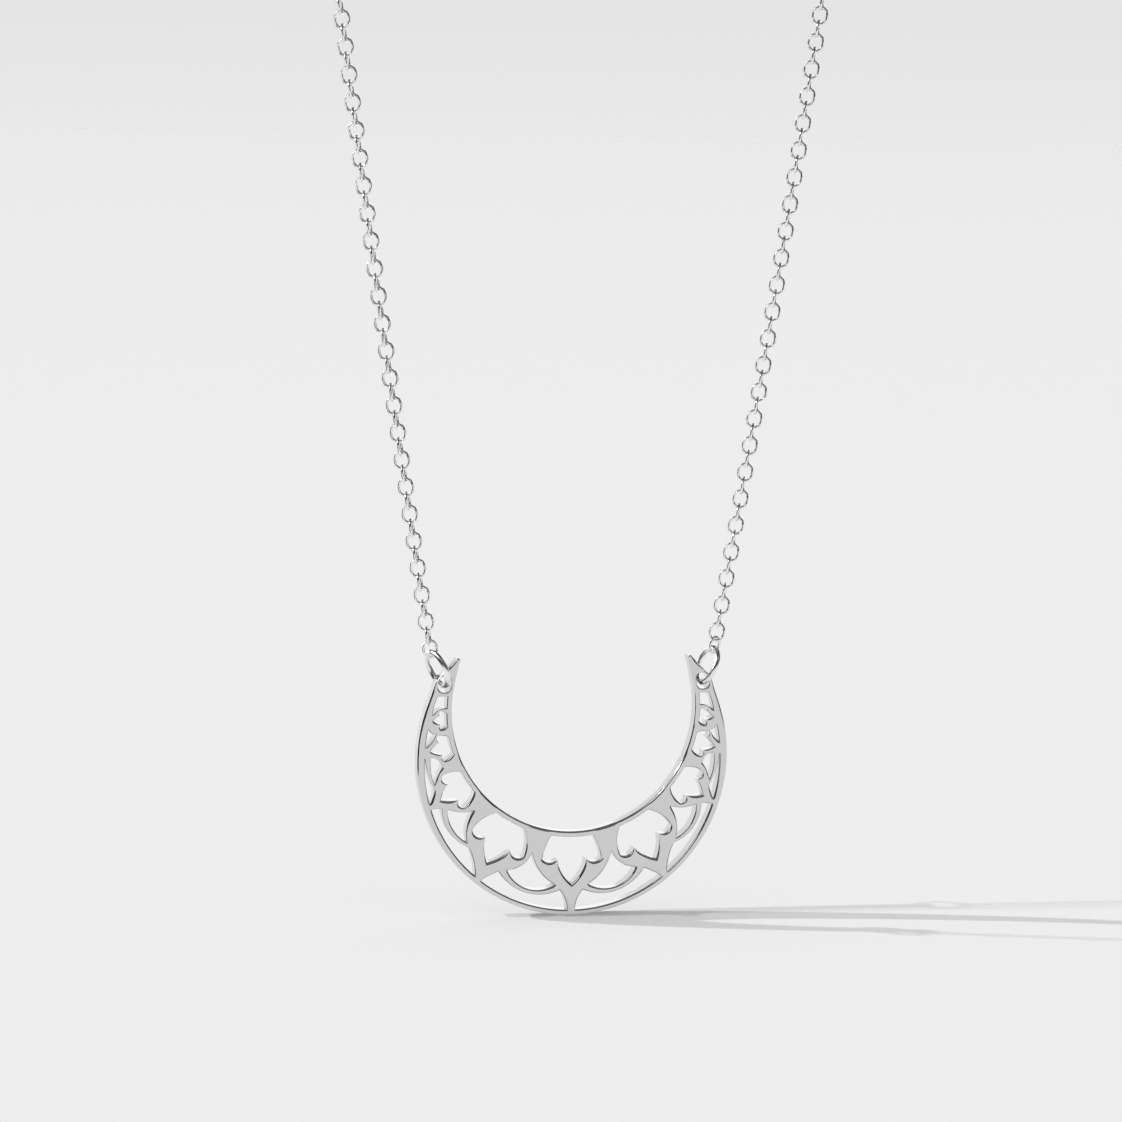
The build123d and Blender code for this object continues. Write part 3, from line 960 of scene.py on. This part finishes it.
@dataclass
class CableChain:
    """One half of the chain: oval links that hang just clear of each other, every second one turned."""

    side: Side
    first_twist: float
    hang: Hang
    links: int = 122
    length: float = 2.08
    width: float = 1.78
    wire: float = 0.30
    play: float = 0.03
    end_play: float = 0.10
    face_twist: float = 14.0
    quarter: float = 99.0
    end_steps: int = 5
    around: int = 6
    finish: SilverFinish = SilverFinish(
        "drawn_wire_silver",
        colour=(0.94, 0.938, 0.935),
        smooth=0.12, dull=0.20, patch_mm=0.9, grain_mm=0.2, grain_depth_mm=0.0006,
    )

    @property
    def pitch(self) -> float:
        """Distance between the centres of neighbours: a link's inner length less the wire and the play."""
        return self.length - 2 * self.wire - self.play

    def link_path(self) -> tuple[np.ndarray, np.ndarray]:
        """Path and outward ways of one link along X and Y.

        It has two half circles of an odd number of straight steps, moved apart along X until the middle
        step of each, which is nearer than the circle by the cosine of half a step's turn, is at the end.
        """
        radius = (self.width - self.wire) / 2
        apart = (self.length - self.wire) / 2 - radius * cos(pi / 2 / self.end_steps)
        angles = -pi / 2 + np.linspace(0.0, pi, self.end_steps + 1)
        angles = np.concatenate((angles, angles + pi))
        outward = np.stack((np.cos(angles), np.sin(angles)), -1)
        path = radius * outward
        path[:, 0] += np.where(np.arange(len(angles)) <= self.end_steps, apart, -apart)
        return path, outward

    def build(self) -> bpy.types.Object:
        """Builds all links in one mesh, each along the loop's heading at its own place."""
        number = np.arange(self.links)
        first = self.length / 2 - self.wire - self.hang.ring_wire / 2 - self.end_play
        ways = first + number * self.pitch
        points, heading = self.hang.route(ways, self.side)
        quarter = (number + (self.side is Side.RIGHT)) % 2 * self.quarter
        quarter[0] = self.first_twist
        twist = np.radians(self.face_twist + quarter)[:, None]
        front = np.array((0.0, -1.0, 0.0))
        normal = front * np.cos(twist) + np.cross(front, heading) * np.sin(twist)
        sideways = np.cross(normal, heading)
        path, outward = self.link_path()

        def spread(flat: np.ndarray) -> np.ndarray:
            """Turns flat places of one link into places along every link."""
            return flat[None, :, :1] * heading[:, None, :] + flat[None, :, 1:] * sideways[:, None, :]

        across = np.broadcast_to(-normal[:, None, :], (self.links, len(path), 3))
        centres = points[:, None, :] + spread(path)
        made = round_wire(centres, spread(outward), across, self.wire / 2, self.around)
        log.info("%s chain: pitch %.4f mm, %d faces", self.side.value, self.pitch, len(made[1]))
        piece = make_piece(f"chain_{self.side.value}_links", *made, self.finish)
        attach(piece, Body.NECKLACE.value)
        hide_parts(f"chain_{self.side.value}")
        return piece


@dataclass
class BarrelClasp:
    """Hidden closing: a barrel with rounded ends and an eye at each end."""

    hang: Hang
    radius: float = 1.2
    length: float = 5.6
    end_round: float = 0.9
    around: int = 48
    round_steps: int = 8
    eye_around: int = 16
    # Painted shade: the clasp's silver is darkened like the plate's, below the metal's own colour.
    finish: SilverFinish = SilverFinish(
        "polished_clasp_silver",
        colour=(0.71, 0.706, 0.70),
        smooth=0.08, dull=0.14, patch_mm=2.0, grain_mm=0.3, grain_depth_mm=0.0006,
    )

    def barrel(self, centre: np.ndarray) -> tuple[np.ndarray, np.ndarray, np.ndarray]:
        """Barrel about X: each station is a circle of its own radius.

        Over the rounded ends the radius is the barrel's less the round's, plus the round times the sine
        of its turn, and the place is the end's less the round, plus the round times the cosine. A fan
        of triangles about a pole closes each end.

        Args:
            centre: Middle of the barrel.

        Returns:
            Vertices, faces and corner normals.
        """
        turns, side = half_turn(self.round_steps)
        radii = self.radius - self.end_round + self.end_round * np.sin(turns)
        place = side * (self.length / 2 - self.end_round) + self.end_round * np.cos(turns)
        angles = np.arange(self.around) * 2 * pi / self.around
        ring = np.stack((np.cos(angles), np.sin(angles)), -1)
        points = np.zeros((len(turns), self.around, 3))
        normals = np.zeros_like(points)
        points[:, :, 0] = place[:, None]
        points[:, :, 1:] = radii[:, None, None] * ring
        normals[:, :, 0] = np.cos(turns)[:, None]
        normals[:, :, 1:] = np.sin(turns)[:, None, None] * ring
        poles = np.array(((1.0, 0.0, 0.0), (-1.0, 0.0, 0.0)))
        points = np.concatenate((points.reshape(-1, 3), poles * self.length / 2))
        normals = np.concatenate((normals.reshape(-1, 3), poles))
        rim = np.arange(self.around)
        after = np.roll(rim, -1)
        last = (len(turns) - 1) * self.around
        pole = np.full_like(rim, last + self.around)
        faces = np.concatenate((
            tube_faces(len(turns), self.around)[: -self.around, ::-1],
            np.stack((pole, rim, after, after), -1),
            np.stack((pole + 1, after + last, rim + last, rim + last), -1),
        ))
        return points + centre, faces, normals[faces]

    def eye(self, centre: np.ndarray, side: Side) -> tuple[np.ndarray, np.ndarray, np.ndarray]:
        """Ring of wire at one end, upright on the left and level on the right."""
        angles = np.arange(self.around)[:, None] * 2 * pi / self.around
        along = np.array((1.0, 0.0, 0.0))
        other = np.array((0.0, 0.0, 1.0) if side is Side.LEFT else (0.0, 1.0, 0.0))
        outward = along * np.cos(angles) + other * np.sin(angles)
        middle = centre + side.sign * self.hang.eye_offset * along
        across = np.broadcast_to(np.cross(other, along), outward.shape)
        centres = middle + self.hang.eye_radius * outward
        wire = self.hang.eye_wire / 2
        return round_wire(centres[None], outward[None], across[None], wire, self.eye_around)

    def build(self) -> bpy.types.Object:
        """Builds the barrel and its two eyes as one piece, level with the ends of the chain."""
        end = self.hang.route(np.array([self.hang.span]), Side.RIGHT)[0][0]
        centre = np.array((0.0, 0.0, end[2]))
        parts = [self.barrel(centre), self.eye(centre, Side.LEFT), self.eye(centre, Side.RIGHT)]
        starts = np.cumsum([0] + [len(part[0]) for part in parts[:-1]])
        piece = make_piece(
            "clasp_barrel",
            np.concatenate([part[0] for part in parts]),
            np.concatenate([part[1] + start for part, start in zip(parts, starts)]),
            np.concatenate([part[2] for part in parts]),
            self.finish,
        )
        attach(piece, Body.NECKLACE.value)
        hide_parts("clasp")
        return piece


@dataclass(frozen=True)
class PhotoCamera:
    """Camera of the photograph, placed by the plate's lowest front point.

    It looks to the right of straight ahead by its yaw and down by its elevation, and is rolled, all in
    degrees. The way to a pixel is forward, plus the pixel's offsets from the picture's middle over the
    focal length in pixels, to the right and down.
    """

    yaw: float = 13.2
    elevation: float = 5.8
    roll: float = 0.86
    distance: float = 450.0
    focal_px: float = 4198.0
    foot_px: Point = (571.3, 914.8)
    sensor: float = 36.0
    clip_m: tuple[float, float] = (0.01, 1000.0)

    def build(self, foot: Vector) -> None:
        """Makes the scene's camera.

        Args:
            foot: Lowest front point of the plate, in metres.
        """
        yaw, tilt, roll = (radians(v) for v in (self.yaw, self.elevation, self.roll))
        forward = Vector((sin(yaw) * cos(tilt), cos(yaw) * cos(tilt), -sin(tilt)))
        level = Vector((cos(yaw), -sin(yaw), 0.0))
        above = level.cross(forward)
        right = cos(roll) * level + sin(roll) * above
        up = -sin(roll) * level + cos(roll) * above
        offset = [(p - PHOTO_SIDE / 2) / self.focal_px for p in self.foot_px]
        way = forward + offset[0] * right - offset[1] * up
        data = bpy.data.cameras.new("photo_camera")
        data.sensor_width = self.sensor
        data.lens = self.focal_px * data.sensor_width / PHOTO_SIDE
        data.clip_start, data.clip_end = self.clip_m
        camera = add_object("photo_camera", data)
        turned = Matrix((right, up, -forward)).transposed().to_4x4()
        camera.matrix_world = Matrix.Translation(foot - way * self.distance * MM) @ turned
        bpy.context.scene.camera = camera


@dataclass(frozen=True)
class SunLight:
    """A distant light: the way its light travels, its strength and its apparent width in degrees."""

    name: str
    way: tuple[float, float, float]
    strength: float
    width: float

    def build(self) -> None:
        """Makes the light."""
        data = bpy.data.lights.new(self.name, "SUN")
        data.energy = self.strength
        data.angle = radians(self.width)
        light = add_object(self.name, data)
        light.rotation_euler = Vector(self.way).to_track_quat("-Z", "Y").to_euler()


@dataclass(frozen=True)
class ReflectionCard:
    """A flat card, bright or dark, that only reflections see.

    Its middle is measured from the origin, but in height from the floor, and its lengths are metres.
    """

    name: str
    middle: tuple[float, float, float]
    facing: tuple[float, float, float]
    size: Point
    radiance: float

    def build(self, floor_z: float) -> None:
        """Makes the card.

        Args:
            floor_z: Height of the floor, in metres.
        """
        material = bpy.data.materials.new(self.name)
        material.use_nodes = True
        tree = material.node_tree
        tree.nodes.clear()
        glow, end = add_node(tree, "Emission", {"Strength": self.radiance}), add_node(tree, "OutputMaterial")
        link_nodes(tree, (glow, "Emission", end, "Surface"))
        turn = Vector(self.facing).to_track_quat("Z", "Y").to_matrix()
        middle = Vector((self.middle[0], self.middle[1], floor_z + self.middle[2]))
        x, y = self.size[0] / 2, self.size[1] / 2
        corners = ((-x, -y, 0.0), (x, -y, 0.0), (x, y, 0.0), (-x, y, 0.0))
        mesh = bpy.data.meshes.new(self.name)
        mesh.from_pydata([tuple(middle + turn @ Vector(corner)) for corner in corners], [], [(0, 1, 2, 3)])
        mesh.materials.append(material)
        card = add_object(self.name, mesh)
        card.visible_camera = False
        card.visible_diffuse = False
        card.visible_shadow = False
        card.visible_transmission = False


@dataclass(frozen=True)
class Studio:
    """Pale floor without an edge, a pale soft surrounding, two suns and cards for reflections.

    Two wide cards stand behind, a dark and a bright one at the left, and two hang above. All lengths
    are metres. The sky's two tones are those at the horizon and at its rise.
    """

    floor_z: float
    floor_radii: tuple[float, ...] = (0.02, 0.06, 0.2, 0.8, 3.0, 12.0, 60.0, 300.0)
    floor_around: int = 48
    albedo: float = 0.80
    # Painted shade: the share by which the floor's colour darkens far from its middle, as light falls off.
    painted_falloff: float = 0.042
    fall_reach: float = 2.5
    # Painted glow: the floor's brightness as an even emitter that reflections see.
    glow: float = 0.86
    ambient: float = 0.571
    reflected: float = 0.05
    # Share of the floor's painted glow in what reflections see.
    painted_glow_share: float = 0.6
    sky: tuple[float, float] = (0.815, 0.778)
    sky_rise: float = 0.03
    # Name, way of the light, strength and width of each sun.
    suns: tuple[SunLight, ...] = (
        SunLight("sun_from_back_left", (1.75, -0.57, -1.0), 1.8, 1.0),
        SunLight("sun_from_left", (1.0, -0.05, -1.0), 1.0, 1.6),
    )
    # Name, middle, facing, size and radiance of each card.
    cards: tuple[ReflectionCard, ...] = (
        ReflectionCard("card_behind_right", (0.43, 0.40, 0.11), (0.0, -1.0, 0.0), (0.8, 0.22), 1.2),
        ReflectionCard("card_behind_left", (-0.37, 0.40, 0.11), (0.0, -1.0, 0.0), (0.8, 0.22), 0.88),
        ReflectionCard("flag_left", (-0.075, -0.01, 0.03), (1.0, 0.0, 0.0), (0.11, 0.06), 0.02),
        ReflectionCard("strip_back_left", (-0.07, 0.085, 0.03), (0.64, -0.77, 0.0), (0.06, 0.06), 1.3),
        ReflectionCard("card_above_left", (-0.26, -0.08, 0.28), (0.66, 0.2, -0.72), (0.2, 0.2), 1.8),
        ReflectionCard("card_above_front", (0.0, -0.33, 0.47), (0.0, 0.59, -0.81), (1.1, 0.16), 0.42),
    )

    def floor(self) -> None:
        """Makes the floor: rings of faces about the pendant, each some times wider than the last.

        The floor's colour darkens with the distance from its middle, painted shade for light that falls off,
        by the painted fall-off times the distance over the distance plus the reach. Reflections see it part
        in its own light and part as a painted glow, evenly bright and without the shadows on it.
        """
        angles = np.arange(self.floor_around) * 2 * pi / self.floor_around
        ring = np.stack((np.cos(angles), np.sin(angles)), -1)
        points = np.zeros((len(self.floor_radii), self.floor_around, 3))
        points[:, :, :2] = np.array(self.floor_radii)[:, None, None] * ring
        points[:, :, 2] = self.floor_z
        faces = tube_faces(len(self.floor_radii), self.floor_around)[: -self.floor_around, ::-1]
        mesh = bpy.data.meshes.new("floor")
        mesh.from_pydata(
            points.reshape(-1, 3).tolist(), [], [tuple(range(self.floor_around)), *faces.tolist()]
        )
        material = bpy.data.materials.new("pale_floor")
        material.use_nodes = True
        tree = material.node_tree
        shader = tree.nodes["Principled BSDF"]
        shader.inputs["Roughness"].default_value = 1.0
        shader.inputs["Specular IOR Level"].default_value = 0.0
        place = add_node(tree, "TexCoord")
        length = add_node(tree, "VectorMath", operation="LENGTH")
        reach = add_node(tree, "Math", {1: self.fall_reach}, operation="ADD")
        share = add_node(tree, "Math", operation="DIVIDE")
        # Painted shade: the floor's colour darkens away from its middle.
        far = self.albedo * (1 - self.painted_falloff)
        tone = add_node(tree, "MapRange", {"To Min": self.albedo, "To Max": far})
        link_nodes(
            tree,
            (place, "Object", length, 0),
            (length, "Value", reach, 0),
            (length, "Value", share, 0),
            (reach, "Value", share, 1),
            (share, "Value", tone, "Value"),
            (tone, "Result", shader, "Base Color"),
        )
        # Painted glow: reflections see the floor partly as an even emitter, without its shadows.
        glow = add_node(tree, "Emission", {"Color": (self.glow, self.glow, self.glow, 1.0)})
        path = add_node(tree, "LightPath")
        part = add_node(tree, "Math", {1: self.painted_glow_share}, operation="MULTIPLY")
        either = add_node(tree, "MixShader")
        link_nodes(
            tree,
            (path, "Is Glossy Ray", part, 0),
            (part, "Value", either, "Fac"),
            (shader, "BSDF", either, 1),
            (glow, "Emission", either, 2),
            (either, "Shader", tree.nodes["Material Output"], "Surface"),
        )
        mesh.materials.append(material)
        add_object("floor", mesh)

    def surrounding(self) -> None:
        """Sets the world: one brightness for soft light, a dark one for reflections, a pale one to see."""
        world = bpy.data.worlds.new("pale_surrounding")
        world.use_nodes = True
        tree = world.node_tree
        path, place = add_node(tree, "LightPath"), add_node(tree, "TexCoord")
        split = add_node(tree, "SeparateXYZ")
        low, high = self.sky
        seen = add_node(tree, "MapRange", {"From Max": self.sky_rise, "To Min": low, "To Max": high})
        unseen = add_node(tree, "Mix", {"A": self.ambient, "B": self.reflected})
        both = add_node(tree, "Mix")
        link_nodes(
            tree,
            (path, "Is Glossy Ray", unseen, "Factor"),
            (path, "Is Camera Ray", both, "Factor"),
            (unseen, "Result", both, "A"),
            (place, "Generated", split, "Vector"),
            (split, "Z", seen, "Value"),
            (seen, "Result", both, "B"),
            (both, "Result", tree.nodes["Background"], "Color"),
        )
        bpy.context.scene.world = world

    def build(self) -> None:
        """Makes the floor, the surrounding, the suns and the cards."""
        self.floor()
        self.surrounding()
        for sun in self.suns:
            sun.build()
        for card in self.cards:
            card.build(self.floor_z)


@dataclass
class MoonNecklace:
    """The whole necklace: plate, two rings, two half chains and a clasp."""

    plate: MoonPlate
    rings: tuple[JumpRing, JumpRing]
    chains: tuple[CableChain, CableChain]
    clasp: BarrelClasp

    @classmethod
    def hung_at(cls, centre_z: float) -> "MoonNecklace":
        """Makes the necklace's parts around the height of the plate's centre."""
        hang = Hang(centre_z)
        return cls(
            plate=MoonPlate(centre_z),
            rings=(
                JumpRing(Side.LEFT, turn=15.0, hang=hang),
                JumpRing(Side.RIGHT, turn=-11.0, hang=hang),
            ),
            chains=(
                CableChain(Side.LEFT, first_twist=-20.0, hang=hang),
                CableChain(Side.RIGHT, first_twist=-50.0, hang=hang),
            ),
            clasp=BarrelClasp(hang),
        )

    def build(self) -> None:
        """Builds every piece and logs it."""
        for part in (self.plate, *self.rings, *self.chains, self.clasp):
            piece = part.build()
            log.info("%s: %d faces", piece.name, len(piece.data.polygons))


def main() -> None:
    """Builds the necklace, the studio and the camera around the construction model."""
    logging.basicConfig(level=logging.INFO, format="%(name)s: %(message)s")
    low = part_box("moon_plate")[0]
    MoonNecklace.hung_at(low.z / MM + CrescentOutline().outer_radius).build()
    Studio(low.z).build()
    PhotoCamera().build(Vector((0.0, low.y, low.z)))
    bpy.context.scene.view_settings.view_transform = "Standard"


if __name__ == "__main__":
    main()
